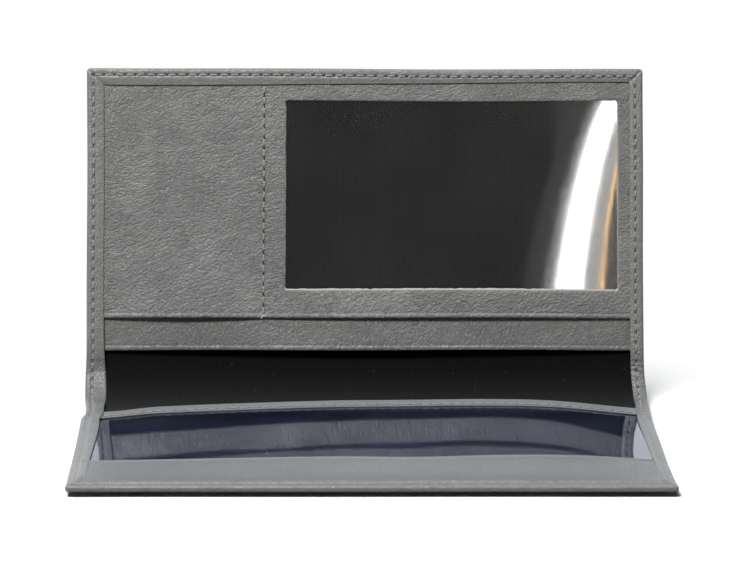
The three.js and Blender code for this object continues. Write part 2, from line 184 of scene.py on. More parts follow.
BULGE_AT, BULGE_SHIFT, BULGE_SHIFT_POWER = 70.5, 28.0, 0.8
BULGE_CURVE, BULGE_FLATTENS = 0.002, 0.0007
BULGE_FADE = 26


# Shapes on the pattern


def smooth(t):
    t = np.clip(t, 0, 1)
    return t * t * (3 - 2 * t)


def ease(t, start, end):
    """Goes smoothly from 0 at start to 1 at end, and stays there."""
    return smooth((t - start) / (end - start))


def hill(t):
    return np.exp(-np.square(t))


def part_way(start, end, share):
    return start + (end - start) * share


def by_side(x, left, right):
    return part_way(left, right, ease(x, -60, 60))


def wander(u, v, size, seed):
    """Smooth irregular field between about -1 and 1, with hollows and humps of a given size."""
    chance = np.random.default_rng(seed)
    total = 0
    for _ in range(7):
        turn, phase = chance.uniform(0, 2 * math.pi, 2)
        rate = 2 * math.pi / size * chance.uniform(0.55, 1.5)
        total = total + np.sin(rate * (u * math.cos(turn) + v * math.sin(turn)) + phase)
    return total / 4


def band_to_binding(s):
    """0 at the rear edge of the band, and 1 at the front edge of the binding behind it."""
    return np.clip((s - BAND_REAR) / (BINDING_FRONT - BAND_REAR), 0, 1)


def front_lift(s):
    """The lower half rises a little towards its front edge, which stands off the table."""
    return FRONT_LIFT * np.clip(-s / HALF, 0, 1) ** FRONT_LIFT_POWER


def edge_pinch(x, s):
    """The left edge is drawn in behind a kink, where the lower half runs into the spine."""
    return EDGE_PINCH * ease(x, *PINCH_LEFT) * ease(s, *PINCH_KINK) * ease(s, *PINCH_END)


def pocket_puff(x, s, n):
    """The right end of the clear pocket stands up with the hem that holds it, most in front."""
    front = PUFF_FRONT * ease(x, *PUFF_FRONT_X)
    rear = PUFF_REAR * ease(x, *PUFF_REAR_X) * (1 - PUFF_SETTLES * ease(x, *PUFF_SETTLES_X))
    held = ease(s, *PUFF_ENDS_FRONT) * ease(s, *PUFF_ENDS_REAR) * ease(x, *PUFF_ENDS_RIGHT)
    within = ease(n, INNER_FACE, INNER_FACE + 0.5)
    return part_way(front, rear, band_to_binding(s)) * held * within


def stand(points):
    """Pattern points (x, s, n) on the standing cover, in metres in the row frame."""
    x, s, n = np.moveaxis(np.asarray(points, float), -1, 0)
    n = n + front_lift(s) + pocket_puff(x, s, n)
    swell = 1 + SPINE_SWELL * hill((s - SWELL_AT) / SWELL_REACH)
    x = x * swell + edge_pinch(x, s) + UNEVEN * wander(s, x, size=80, seed=7)
    s = s + UNEVEN * wander(x, s, size=90, seed=2)
    turn = np.clip(s / SPINE_RADIUS, 0, TURN)
    straight = s - turn * SPINE_RADIUS
    radius = SPINE_RADIUS - n
    y = radius * np.sin(turn) + straight * np.cos(turn) + TO_ROW
    z = SPINE_RADIUS - radius * np.cos(turn) + straight * np.sin(turn)
    return np.stack([x, y, z], -1) * MM


def pocket_rise(x, s):
    """The clear pocket bows up between the side hems, most to the right and behind the band."""
    side = np.clip(x / ARCH_SPAN, -1, 1)
    across = (1 - np.square(side)) * (1 + ARCH_SKEW * side)
    band = BAND_ARCH * ease(s, ARCH_FOOT, BAND_REAR)
    film = (MOUTH_ARCH - BAND_ARCH) * band_to_binding(s)
    return across * (band + film)


def band_trim(x):
    """The rear edge of the band is cut in a shallow curve, and dips a little right of the middle."""
    off_middle = np.square((x - TRIM_MIDDLE) / TRIM_SPAN)
    curve = np.where(x < TRIM_MIDDLE, TRIM_LEFT, TRIM_RIGHT) * off_middle
    return curve - TRIM_DIP * hill((x - TRIM_DIP_AT) / TRIM_DIP_REACH) + TRIM_ALL


def mouth_slant(x):
    """The bound mouth of the clear pocket runs forward at its left end."""
    return -MOUTH_SLANT * ease(x, *MOUTH_SLANT_X)


def slip_gape(x, s):
    """The mouth of the slip pocket gapes, and lifts all that lies on its front wall."""
    across = np.clip(1 - np.square(x / INSIDE), 0, 1)
    return SLIP_GAPE * across * np.clip(1 - (s - FACING_MOUTH) / SLIP_GAPE_DEPTH, 0, 1) ** 2


def facing_rise(x, s):
    """The facing follows the slip pocket's mouth, a little unevenly."""
    return slip_gape(x, s) + 0.03 * wander(x, s, size=16, seed=9)


def film_bulge(x, s):
    """The window film bows out beside its right edge, further from the edge towards its foot."""
    down = np.clip((WINDOW_TOP - s) / (WINDOW_TOP - WINDOW_FOOT), 0, 1.1)
    peak = BULGE_AT - BULGE_SHIFT * down**BULGE_SHIFT_POWER
    curve = BULGE_CURVE - BULGE_FLATTENS * down
    end = WINDOW_RIGHT + 0.5
    right = np.square(end - peak) - np.square(np.clip(x, peak, end) - peak)
    left = hill(np.minimum(x - peak, 0) / BULGE_FADE)
    return curve / 2 * right * left


def panel_gape(x, s):
    """The mouths of the card pocket and the window pocket stand open a little between their seams."""
    card = np.clip((x + PANEL_SIDE) / (DIVIDER + PANEL_SIDE), 0, 1)
    window = np.clip((x - DIVIDER) / (PANEL_SIDE - DIVIDER), 0, 1)
    open_by = CARD_GAPE * np.sin(math.pi * card) + WINDOW_GAPE * np.sin(math.pi * window)
    near_mouth = np.clip(1 - (s - PANEL_MOUTH) / PANEL_GAPE_DEPTH, 0, 1) ** PANEL_GAPE_POWER
    pushed = film_bulge(x, s) * ease(s, PANEL_MOUTH, PANEL_MOUTH + 8)
    return slip_gape(x, s) + open_by * near_mouth + pushed


# Patches: pattern points, faces, how worn each point is, and each face's material


class Patch:
    def __init__(self, points, faces, worn=0.0, slots=0):
        self.points = np.asarray(points, float).reshape(-1, 3)
        self.faces = faces
        self.worn = np.broadcast_to(worn, len(self.points)).astype(float)
        self.slots = [slots] * len(faces) if isinstance(slots, int) else list(slots)


def joined(*patches):
    points, faces, worn, slots = [], [], [], []
    for patch in patches:
        start = sum(len(p) for p in points)
        points.append(patch.points)
        faces += [[start + i for i in face] for face in patch.faces]
        worn.append(patch.worn)
        slots += patch.slots
    return Patch(np.concatenate(points), faces, np.concatenate(worn), slots)


def quads(rows, columns, keep=None):
    corner = np.arange(rows * columns).reshape(rows, columns)
    found = np.stack([corner[:-1, :-1], corner[:-1, 1:], corner[1:, 1:], corner[1:, :-1]], -1)
    return found.reshape(-1, 4).tolist() if keep is None else found[keep].tolist()


def grid(x, s, n, worn=0.0):
    x, s, n, worn = np.broadcast_arrays(x, s, n, worn)
    return Patch(np.stack([x, s, n], -1), quads(*x.shape), worn.reshape(-1))


def slab(x, s, n, thickness):
    """Closed sheet whose upper face is the grid (x, s, n)."""
    x, s, n = np.broadcast_arrays(x, s, n)
    rows, columns = x.shape
    top = np.stack([x, s, n], -1).reshape(-1, 3)
    count = len(top)
    number = np.arange(count).reshape(rows, columns)
    rim = np.concatenate([number[0, :-1], number[:-1, -1], number[-1, :0:-1], number[:0:-1, 0]])
    upper = quads(rows, columns)
    lower = [[count + i for i in reversed(face)] for face in upper]
    after = np.roll(rim, -1)
    sides = np.stack([rim, rim + count, after + count, after], -1).tolist()
    return Patch(np.concatenate([top, top - [0, 0, thickness]]), upper + lower + sides)


def steps(*spans):
    """Places along a line: each span is (from, to, step)."""
    parts = [np.linspace(a, b, max(int(round(abs(b - a) / step)), 1) + 1) for a, b, step in spans]
    return np.concatenate([parts[0]] + [part[1:] for part in parts[1:]])


def rounded(line, times=1):
    """Cuts the corners of lines of points, an array of (..., points, values), and keeps their ends."""
    for _ in range(times):
        a, b = line[..., :-1, :], line[..., 1:, :]
        cut = np.stack([0.75 * a + 0.25 * b, 0.25 * a + 0.75 * b], -2)
        cut = cut.reshape(*line.shape[:-2], -1, line.shape[-1])
        line = np.concatenate([line[..., :1, :], cut, line[..., -1:, :]], -2)
    return line


def add_object(name, data):
    made = bpy.data.objects.new(name, data)
    bpy.context.scene.collection.objects.link(made)
    return made


def piece(name, patch, *materials):
    """Standing mesh of a patch, whose points keep their pattern place for the materials."""
    mesh = bpy.data.meshes.new(name)
    mesh.from_pydata(stand(patch.points).tolist(), [], patch.faces)
    pattern = mesh.attributes.new("pattern", "FLOAT_VECTOR", "POINT")
    pattern.data.foreach_set("vector", patch.points.astype(np.float32).reshape(-1))
    worn = mesh.attributes.new("worn", "FLOAT", "POINT")
    worn.data.foreach_set("value", patch.worn.astype(np.float32))
    mesh.polygons.foreach_set("material_index", np.asarray(patch.slots, np.int32))
    work = bmesh.new()
    work.from_mesh(mesh)
    bmesh.ops.remove_doubles(work, verts=work.verts, dist=2e-6)
    bmesh.ops.dissolve_degenerate(work, edges=work.edges, dist=1e-6)
    bmesh.ops.recalc_face_normals(work, faces=work.faces)
    work.to_mesh(mesh)
    work.free()
    mesh.polygons.foreach_set("use_smooth", np.ones(len(mesh.polygons), bool))
    mesh.set_sharp_from_angle(angle=math.radians(50))
    for material in materials:
        mesh.materials.append(material)
    return add_object(name, mesh)


# Outer leather


class Half:
    """One half of the cover, with v from the middle of the spine to the free edge. Its inner seam is
    bedded in the hem by a depth."""

    def __init__(self, out, bedded):
        self.out = out
        self.bedded = bedded

    def s(self, v):
        return MIDDLE + self.out * v


LOWER, UPPER = Half(-1, bedded=0.13), Half(1, bedded=0.0)


def edge_stations():
    """Points (x, v) up one side from the spine, along the free edge and back along the other side."""
    side = steps((0, FIRST_STATION, FIRST_STATION), (FIRST_STATION, REACH - CORNER, STATION))
    bend = np.linspace(0, math.pi / 2, 9)[1:-1]
    near, far = CORNER * np.cos(bend), CORNER * np.sin(bend)
    along = steps((-EDGE + CORNER, EDGE - CORNER, STATION))
    right, free = np.full(len(side), EDGE), np.full(len(along), REACH)
    x = np.concatenate([-right, -EDGE + CORNER - near, along, EDGE - CORNER + far, right])
    v = np.concatenate([side, REACH - CORNER + far, free, REACH - CORNER + near, side[::-1]])
    return x, v


def inset_place(x, v, d):
    """The edge points (x, v) moved in from the edge by d, an array of (stations, insets)."""
    x, v = x[:, None], v[:, None]
    hub_x, hub_v = np.clip(x, -EDGE + CORNER, EDGE - CORNER), np.minimum(v, REACH - CORNER)
    way_x, way_v = (x - hub_x) / CORNER, (v - hub_v) / CORNER
    near = np.maximum(CORNER - d, 0)
    reach = np.maximum(d, CORNER)
    at_x = np.clip(hub_x, -EDGE + reach, EDGE - reach)
    at_v = np.minimum(hub_v, REACH - reach)
    return at_x + way_x * near, at_v + way_v * near


def hem_height(s):
    """Underside of the hem, which steps down onto the clear film and, at the spine, the lining."""
    lower = (LOWER_HEM_AT - SPINE_HEM_AT) * ease(s, LOWER_FOLD, 0)
    upper = (UPPER_HEM_AT - SPINE_HEM_AT) * ease(s, UPPER_FOLD, SPINE)
    behind_band = ease(s, BAND_REAR, BAND_REAR + HEM_STEP)
    before_binding = ease(s, BINDING_FRONT, BINDING_FRONT - HEM_STEP)
    down_to_film = LOWER_HEM_AT - POCKET_FILM_TOP - PLY_GAP
    return SPINE_HEM_AT + lower + upper - behind_band * before_binding * down_to_film


def hem_width(x, s):
    """The hem is wider on the left, most at the spine, and a little wider along the lower half, where
    its left side tapers to the front."""
    bulge = by_side(x, HEM_BULGE, 0) * hill((s - HEM_BULGE_AT) / HEM_BULGE_REACH)
    taper = by_side(x, HEM_TAPER, 0) * ease(s, *HEM_TAPER_S)
    return by_side(x, HEM_LEFT, HEM_RIGHT) + bulge - taper + HEM_WIDER * ease(s, *HEM_WIDER_S)


def hem_skive(s):
    """The raw edge of the hem is pared thin, most along the front."""
    return part_way(SIDE_SKIVE, FRONT_SKIVE, ease(s, *NEAR_FRONT_S))


def hem_top(s):
    """Upper face of the hem, whose leather is pared thinner along the front."""
    return hem_height(s) + LEATHER * (1 - FRONT_PARED * ease(s, *NEAR_FRONT_S))


def hem_bead(s):
    """Thickness of the folded edge, which is pressed thin towards the front."""
    return hem_top(s) * part_way(EDGE_FULL, EDGE_PRESSED, ease(s, *EDGE_PRESSED_S))


def hem_face(s, d, width):
    """Upper face at an inset d of a hem of a given width: it climbs from the folded edge."""
    return part_way(hem_bead(s), hem_top(s), smooth((d - EDGE_ROUND) / (width - RAW_EDGE)))


def hem_section(s, x, hole):
    """Section of the turned edge at each station, as its inset d and height n: from under the raw
    edge of the hem, over the seam, round the fold and onto the outer face."""
    width = hem_width(x, s)
    seam = by_side(x, SEAM_LEFT, SEAM_RIGHT)
    at, bead, skive = hem_height(s), hem_bead(s), hem_skive(s)
    raw = hem_top(s) - skive
    groove = (0.16 + 0.22 * hole) * (1 - 0.45 * ease(s, 0, -30))
    zero = np.zeros_like(s)

    def face(d):
        return hem_face(s, d, width) - skive * smooth((d - width + 1.7) / RAW_EDGE)

    under_edge = [(width - RAW_EDGE, at + 0.06), (width - 0.3, at + 0.01), (width + 0.02, at + 0.04)]
    raw_edge = [(width + 0.05, (at + raw) / 2), (width - 0.1, raw)]
    inner_face = [(d, face(d)) for d in (width - 0.55, seam + 1.25, seam + 0.55)]
    inner_groove = [(seam + 0.2, face(seam) - groove), (seam - 0.2, face(seam) - groove)]
    to_fold = [(seam - 0.55, face(seam - 0.55)), (1.05, bead + 0.02), (0.4, bead - 0.1)]
    fold = [(0, bead * 0.74), (0, bead * 0.3), (0.36, zero + 0.1), (1.0, zero)]
    outer_groove = [(seam - 0.5, zero), (seam - 0.2, groove * 0.8), (seam + 0.2, groove * 0.8)]
    outer_face = [(seam + 0.5, zero), (width, zero), (SKIN, zero)]
    rows = under_edge + raw_edge + inner_face + inner_groove + to_fold + fold + outer_groove + outer_face
    line = np.stack([np.stack(np.broadcast_arrays(d, n), -1) for d, n in rows], 1)
    return rounded(line, 2)


def stitch_count(length):
    return np.rint(length / STITCH)


def near_hole(place, length):
    """1 at a needle hole of a row of a given length, falling to 0 between the holes."""
    pitch = length / stitch_count(length)
    off = np.abs((place / pitch + 0.5) % 1 - 0.5) * pitch
    return hill(off / HOLE_DIMPLE)


def hem_wrinkles(x, s, d):
    """Creases where the hem is pushed together on the inside of the spine, most of all on the right."""
    side = part_way(0.25, 1, ease(x, -EDGE / 2, EDGE / 2))
    at_spine = hill((s - SPINE + 9) / 9) + 0.4 * hill((s + 2) / 6)
    folds = np.sin(s * 3.3 + 0.8 * np.sin(d * 1.7) + 1.3 * wander(s, d, size=6, seed=11))
    return 0.2 * side * at_spine * folds + 0.06 * wander(x + s, s - d, size=9, seed=4)


def outer_leather(name, half, material):
    """Outer leather of one half: its turned edge, mitred at the corners, and the plain back."""
    x, v = edge_stations()
    along_side = near_hole(v, REACH - by_side(x, SEAM_LEFT, SEAM_RIGHT))
    along_free_edge = near_hole(x + EDGE - SEAM_LEFT, FREE_ROW)
    hole = np.where(v > REACH - TINY, along_free_edge, along_side)
    section = hem_section(half.s(v), x, hole)
    d, n = section[..., 0], section[..., 1]
    at_x, at_v = inset_place(x, v, d)
    s = half.s(at_v)
    on_hem = ease(n, 1.2, 2.0) * ease(d, 0, 0.6)
    n = n + on_hem * hem_wrinkles(at_x, s, d)
    off_mitre = np.abs((EDGE - np.abs(at_x)) - (REACH - at_v)) / math.sqrt(2)
    n = n - MITRE * on_hem * hill(off_mitre / MITRE) * (REACH - at_v < SKIN)
    raw_edge = hill((d - hem_width(x, half.s(v))[:, None]) / 0.35)
    worn = 0.6 * hill((d - 0.2) / 0.8) * ease(n, 0, 0.5) + 0.15 * raw_edge
    back_x = steps((-EDGE + SKIN, EDGE - SKIN, 3.0))
    back_v = steps((0, FIRST_STATION, FIRST_STATION), (FIRST_STATION, REACH - SKIN, 1.6))
    back = grid(back_x[None, :], half.s(back_v)[:, None], 0.0)
    return piece(name, joined(grid(at_x, s, n, worn), back), material)


# Pocket leathers, linings and films


def mouth_places(end, step):
    """Distances from a turned mouth edge along its leather, close together behind the nose."""
    return steps((NOSE + 0.05, NOSE + 1.25, 0.12), (NOSE + 1.25, 3, 0.27), (3, end, step))


def turned_mouth(mouth, end, at, lip, places):
    """Section (s, n) of a pocket leather with a turned mouth: underside, nose, raised lip and top."""
    way = math.copysign(1, end - mouth)
    reach = (POCKET_LEATHER + lip) / 2
    angles = np.linspace(-math.pi / 2, math.pi / 2, 9)
    under = [(t, at) for t in TURNED_IN]
    nose = [(NOSE * (1 - math.cos(a)), at + reach * (1 + math.sin(a))) for a in angles]
    raised = lip * (1 - smooth((places - NOSE) / 0.5)) - 0.06 * hill((places - NOSE - 0.75) / 0.3)
    over = np.stack([places, at + POCKET_LEATHER + raised], -1)
    line = np.concatenate([under, nose, over])
    return mouth + way * line[:, 0], line[:, 1]


def pocket_leather(name, mouth, end, at, lip, rise, material, trim=None):
    """Leather with a turned mouth edge, lifted by rise(x, s). trim(x) shifts where its mouth is cut."""
    s, n = turned_mouth(mouth, end, at, lip, mouth_places(abs(end - mouth), 1.2))
    x = steps((-INSIDE, INSIDE, 1.2))
    x, s, n = np.broadcast_arrays(x[None, :], s[:, None], n[:, None])
    worn = 0.15 * hill((np.abs(s - mouth) - NOSE) / 0.4)
    if trim:
        s = s + trim(x) * ease(s, end, mouth)
    return piece(name, grid(x, s, n + rise(x, s), worn), material)


def round_window(x, s):
    """Moves the points of the window's outline near its corners onto their rounding."""
    r = WINDOW_RADIUS
    for edge_x, way_x in ((WINDOW_LEFT, 1), (WINDOW_RIGHT, -1)):
        for edge_s, way_s in ((WINDOW_FOOT, 1), (WINDOW_TOP, -1)):
            a, b = (x - edge_x) * way_x / r, (s - edge_s) * way_s / r
            at_corner = (np.abs(np.minimum(a, b)) < TINY) & (np.maximum(a, b) < 1)
            angle = math.pi / 4 * (1 + a - b)
            x = np.where(at_corner, edge_x + way_x * r * (1 - np.cos(angle)), x)
            s = np.where(at_corner, edge_s + way_s * r * (1 - np.sin(angle)), s)
    return x, s


def beside(*edges):
    """Places close to edges, on both sides of each."""
    return [edge + way * off for edge in edges for way in (-1, 1) for off in (0.2, 0.5, 0.9, 1.5, 2.4)]


def panel_grid():
    """Points x, s and n of the panel before its window is cut, and which of them lie on its top."""
    left, right = WINDOW_LEFT, WINDOW_RIGHT
    across = steps((-INSIDE, left, 1.2), (left, right, 1.2), (right, INSIDE, 0.6))
    across = np.unique(np.concatenate([across, beside(left, right)]).round(6))
    foot, head, end = (s - PANEL_MOUTH for s in (WINDOW_FOOT, WINDOW_TOP, TOP_END))
    up = np.concatenate([
        mouth_places(foot, 1.0), steps((foot, head, 1.2), (head, end, 0.6)), beside(foot, head),
    ])
    up = np.unique(up.round(6))
    s, n = turned_mouth(PANEL_MOUTH, TOP_END, PANEL_AT, PANEL_LIP, up)
    on_top = np.arange(len(s))[:, None] >= len(s) - len(up)
    return *np.broadcast_arrays(across[None, :], s[:, None], n[:, None]), on_top


def window_wall(points, inside):
    """Cut edge of the panel round the window, bevelled and a little ragged."""
    rows, columns = np.where(inside)
    r0, r1, c0, c1 = rows.min(), rows.max(), columns.min(), columns.max()
    number = np.arange(inside.size).reshape(inside.shape)
    loop = np.concatenate([
        number[r0, c0:c1], number[r0:r1, c1], number[r1, c1:c0:-1], number[r1:r0:-1, c0],
    ])
    rim = points[loop]
    x, s = rim[:, 0], rim[:, 1]
    bevel_x = 0.3 * (x < WINDOW_LEFT + WINDOW_RADIUS) - 0.2 * (x > WINDOW_RIGHT - WINDOW_RADIUS)
    bevel_s = 0.5 * (s < WINDOW_FOOT + WINDOW_RADIUS) - 0.12 * (s > WINDOW_TOP - WINDOW_RADIUS)
    ragged = 1 + 0.35 * wander(x, s, size=2.5, seed=13)
    deep = rim + np.stack([bevel_x * ragged, bevel_s * ragged, np.full(len(rim), -POCKET_LEATHER)], -1)
    wall = np.stack([rim, deep, np.roll(deep, -1, 0), np.roll(rim, -1, 0)], 1).reshape(-1, 3)
    return Patch(wall, np.arange(len(wall)).reshape(-1, 4).tolist(), 0.6, 1)


def window_panel(skin, raw_edge):
    """Leather panel with the card pocket on its left and the window cut out on its right."""
    x, s, n, on_top = panel_grid()
    out_x = np.maximum(WINDOW_LEFT - x, x - WINDOW_RIGHT)
    out_s = np.maximum(WINDOW_FOOT - s, s - WINDOW_TOP)
    from_window = np.hypot(np.maximum(out_x, 0), np.maximum(out_s, 0))
    inside = (out_x < TINY) & (out_s < TINY) & on_top
    x, s = round_window(x, s)
    from_mouth = np.abs(s - PANEL_MOUTH)
    creased = 0.05 * wander(x, s, size=14, seed=21) * ease(from_mouth, 1, 6)
    rolled = 0.1 * hill(from_window / 0.35) * on_top
    seam_dip = 0.12 * hill((x - DIVIDER) / 0.7) * on_top
    n = n + panel_gape(x, s) + creased - rolled - seam_dip
    # Paler where rubbed at the mouth and round the window; at the mouth this paleness is partly real wear
    # and partly a painted highlight on the lip.
    worn = 0.5 * hill((from_mouth - NOSE) / 0.4) + 0.5 * hill(from_window / 0.4) * on_top
    hidden = inside[:-1, :-1] & inside[1:, :-1] & inside[:-1, 1:] & inside[1:, 1:]
    sheet = Patch(np.stack([x, s, n], -1), quads(*x.shape, keep=~hidden), worn.reshape(-1))
    return piece("panel_leather", joined(sheet, window_wall(sheet.points, inside)), skin, raw_edge)


def window_film(material):
    x, s = np.meshgrid(steps((WINDOW_FILM_LEFT, INSIDE, 0.8)), steps((WINDOW_FILM_FOOT, TOP_END, 0.8)))
    return piece("window_clear_film", slab(x, s, WINDOW_FILM_TOP + film_bulge(x, s), FILM), material)


def pocket_film(material):
    """Clear sheet that dips under the side hems and runs straight over the lift of the front."""
    x, s = np.meshgrid(steps((-INSIDE, INSIDE, 0.9)), steps((BAND_REAR - 8, MOUTH - 0.5, 0.9)))
    dips = by_side(x, FILM_DIP_LEFT, FILM_DIP_RIGHT) * ease(np.abs(x), *FILM_DIP_X)
    straight = front_lift(BAND_REAR) * (1 - band_to_binding(s)) - front_lift(np.maximum(s, BAND_REAR))
    raised = FILM_RAISED * ease(x, *FILM_RAISED_X) * ease(s, *FILM_RAISED_S)
    level = straight * ease(np.abs(x), *FILM_STRAIGHT_X) + raised
    n = POCKET_FILM_TOP + pocket_rise(x, s) + level - dips + 0.012 * wander(x, s, size=40, seed=3)
    s = s + mouth_slant(x) * ease(s, BAND_REAR, MOUTH)
    return piece("pocket_clear_film", slab(x, s, n, FILM), material)


def pocket_binding(material):
    """Leather strip folded over the mouth of the clear pocket."""
    middle, reach = (BINDING_LOW + BINDING_HIGH) / 2, (BINDING_HIGH - BINDING_LOW) / 2
    inner_low, inner_high = BINDING_LOW + BINDING_LEATHER, BINDING_HIGH - BINDING_LEATHER
    fold = MOUTH - reach
    short = BINDING_FRONT + 2.5
    under = [(short + 2, inner_low), (short, inner_low), (short, BINDING_LOW)]
    angles = np.linspace(-1.57, 1.57, 11)
    nose = np.stack([fold + reach * np.cos(angles), middle + reach * np.sin(angles)], -1)
    along = steps((fold - 0.2, BINDING_FRONT + 0.25, 0.3))
    ridge = 0.12 * hill((along - fold + 0.4) / 1.5) - 0.1 * hill((along - BINDING_SEAM) / 0.45)
    top = np.stack([along, BINDING_HIGH + ridge], -1)
    front = [(BINDING_FRONT, BINDING_HIGH - 0.12), (BINDING_FRONT, inner_high)]
    inside = [(BINDING_FRONT + 2, inner_high)]
    line = np.concatenate([under, nose, top, front, inside])
    x = steps((-INSIDE, INSIDE, 1.0))
    x, s, n = np.broadcast_arrays(x[None, :], line[:, :1], line[:, 1:])
    worn = hill((s - MOUTH + 0.4) / 0.6)
    n = n + pocket_rise(x, s) + 0.04 * wander(x, s, size=25, seed=5)
    return piece("mouth_binding", grid(x, s + mouth_slant(x), n, worn), material)


def lining(name, start, end, top, material, rise=None):
    """Sheet of lining cloth, which waves a little where it is loose."""
    x, s = np.meshgrid(steps((-INSIDE, INSIDE, 2.0)), steps((start, end, 1.0)))
    loose = ease(np.abs(s - MIDDLE), 0, 3) * ease(np.abs(x), INSIDE, INSIDE - 8)
    n = top - LINING_WAVE + LINING_WAVE * loose * wander(x, s, size=22, seed=6)
    if rise:
        n = n + rise(x, s)
    return piece(name, slab(x, s, n, LINING - LINING_WAVE), material)


def stiffener(name, start, end, material):
    """Card between the outer leather and the lining."""
    x, s = np.meshgrid(np.linspace(-INSIDE, INSIDE, 9), steps((start, end, 4.0)))
    return piece(name, slab(x, s, BOARD_TOP, BOARD_CARD), material)


# Stitching


def stitches(start, end):
    """Twisted thread between pairs of points, which dips into a needle hole at each end."""
    start, end = np.asarray(start, float), np.asarray(end, float)
    t = np.linspace(0, 1, STITCH_POINTS)[None, :, None, None]
    angle = np.linspace(0, 2 * math.pi, THREAD_SIDES, endpoint=False)[None, None, :, None]
    run = (end - start)[:, None, None, :]
    side = np.stack([-run[..., 1], run[..., 0], np.zeros_like(run[..., 0])], -1)
    side = side / np.linalg.norm(side, axis=-1, keepdims=True)
    up = np.array([0.0, 0.0, 1.0])
    to_end = np.abs(2 * t - 1)
    twist = 1 + 0.16 * np.cos(2 * angle - 15 * t)
    radius = THREAD * np.sqrt(np.clip(1 - to_end**6, 0, 1)) * twist
    points = start[:, None, None, :] + run * t + side * radius * np.cos(angle)
    points = points + up * (radius * 0.8 * np.sin(angle) - 0.3 * to_end**4)
    count, along, around = points.shape[:3]
    number = np.arange(count * along * around).reshape(count, along, around)
    ring = np.roll(number, -1, 2)
    faces = np.stack([number[:, :-1], number[:, 1:], ring[:, 1:], ring[:, :-1]], -1).reshape(-1, 4)
    return Patch(points, faces.tolist())


def needle_holes(at, way, size):
    """Slots that the needle leaves: shallow cups at the given points, drawn out along the seam, whose
    dark colour paints the shade inside the holes.
    """
    way = way / np.linalg.norm(way, axis=-1, keepdims=True)
    side = np.stack([-way[:, 1], way[:, 0], np.zeros(len(way))], -1)
    way, side = way + HOLE_SLANT * side, side - HOLE_SLANT * way
    angle = np.linspace(0, 2 * math.pi, HOLE_POINTS, endpoint=False)[:, None]
    rim = at[:, None] + size * HOLE_LENGTH / 2 * way[:, None] * np.cos(angle)
    rim = rim + size * HOLE_WIDTH / 2 * side[:, None] * np.sin(angle)
    points = np.concatenate([at[:, None] - [0, 0, 0.04], rim], 1)
    first = np.arange(len(at))[:, None] * (HOLE_POINTS + 1)
    around = np.arange(HOLE_POINTS)
    after = (around + 1) % HOLE_POINTS
    faces = np.stack(np.broadcast_arrays(first, first + 1 + around, first + 1 + after), -1)
    return Patch(points, faces.reshape(-1, 3).tolist(), 0.0, 1)


def seam_row(length, along, seed, sunk=HOLE_SUNK, hole=1.0):
    """Stitches along a row, whose pattern points along(distance) gives, over sunk needle holes."""
    count = int(stitch_count(length))
    pitch = length / count
    first = np.arange(count) * pitch
    sway = np.random.default_rng(seed).normal(0, 0.05, (2, count, 3)) * [1, 1, 0.3]
    start, end = along(first + STITCH_GAP / 2), along(first + pitch - STITCH_GAP / 2)
    holes = needle_holes(along(first) - [0, 0, sunk], end - start, hole)
    return joined(stitches(start + sway[0], end + sway[1]), holes)


def as_points(x, s, n):
    return np.stack(np.broadcast_arrays(x, s, n), -1).astype(float)


def seam_height(s, side, seam):
    return hem_face(s, seam, hem_width(side * EDGE, s)) + 0.02


def hem_rows(half, length, along, seed, hole=1.0):
    """Stitches of a hem, on the inside, where along(distance) gives x, s and n, and on the outside."""

    def inner(a):
        x, s, n = along(a)
        return as_points(x, s, n - half.bedded)

    def outer(a):
        x, s, _ = along(a)
        return as_points(x, s, OUTER_THREAD_AT)

    inside = seam_row(length, inner, seed, HOLE_SUNK + half.bedded, hole)
    return inside, seam_row(length, outer, seed + 10)


def side_seams(half, side, seam, hole):
    x = side * (EDGE - seam)

    def along(a):
        s = half.s(a)
        return x, s, seam_height(s, side, seam)

    return hem_rows(half, REACH - seam, along, 31 + side, hole)


def free_edge_seams(half):
    edge = half.s(REACH)
    left, right = seam_height(edge, -1, SEAM_LEFT), seam_height(edge, 1, SEAM_RIGHT)

    def along(a):
        s = half.s(REACH - by_side(a - EDGE, SEAM_LEFT, SEAM_RIGHT))
        return a + SEAM_LEFT - EDGE, s, by_side(a - EDGE, left, right)

    return hem_rows(half, FREE_ROW, along, 51)


def hem_seams(name, half, *materials):
    """Stitching of the turned edge of one half."""
    left = side_seams(half, -1, SEAM_LEFT, hole=0.55)
    right = side_seams(half, 1, SEAM_RIGHT, hole=0.8)
    return piece(name, joined(*left, *right, *free_edge_seams(half)), *materials)


def binding_seam(*materials):
    reach = EDGE - 5.2

    def along(a):
        x = a - reach
        n = BINDING_HIGH + 0.1 + pocket_rise(x, BINDING_SEAM)
        return as_points(x, BINDING_SEAM + mouth_slant(x), n)

    return piece("binding_stitches", seam_row(2 * reach, along, 71), *materials)


def divider_seam(*materials):
    """Stitching beside the card pocket, with the loose end of its thread at the panel's mouth."""
    start, end = PANEL_MOUTH + 0.7, SPINE + HALF - 5.1

    def along(a):
        s = start + a
        return as_points(DIVIDER, s, PANEL_TOP + 0.06 + panel_gape(DIVIDER, s))

    tail = stitches(
        [[DIVIDER + 0.1, PANEL_MOUTH + 1.0, PANEL_TOP + 0.4]],
        [[DIVIDER - 0.8, PANEL_MOUTH - 0.25, PANEL_AT + 0.35]],
    )
    tail.points[:, 2] += panel_gape(DIVIDER, PANEL_MOUTH)
    # The loose end gets a paler copy of the thread's colour: a painted highlight where it wraps round the
    # lip.
    tail.slots = [2] * len(tail.faces)
    row = seam_row(end - start, along, 81, hole=1.4)
    return piece("divider_stitches", joined(row, tail), *materials)


# Materials


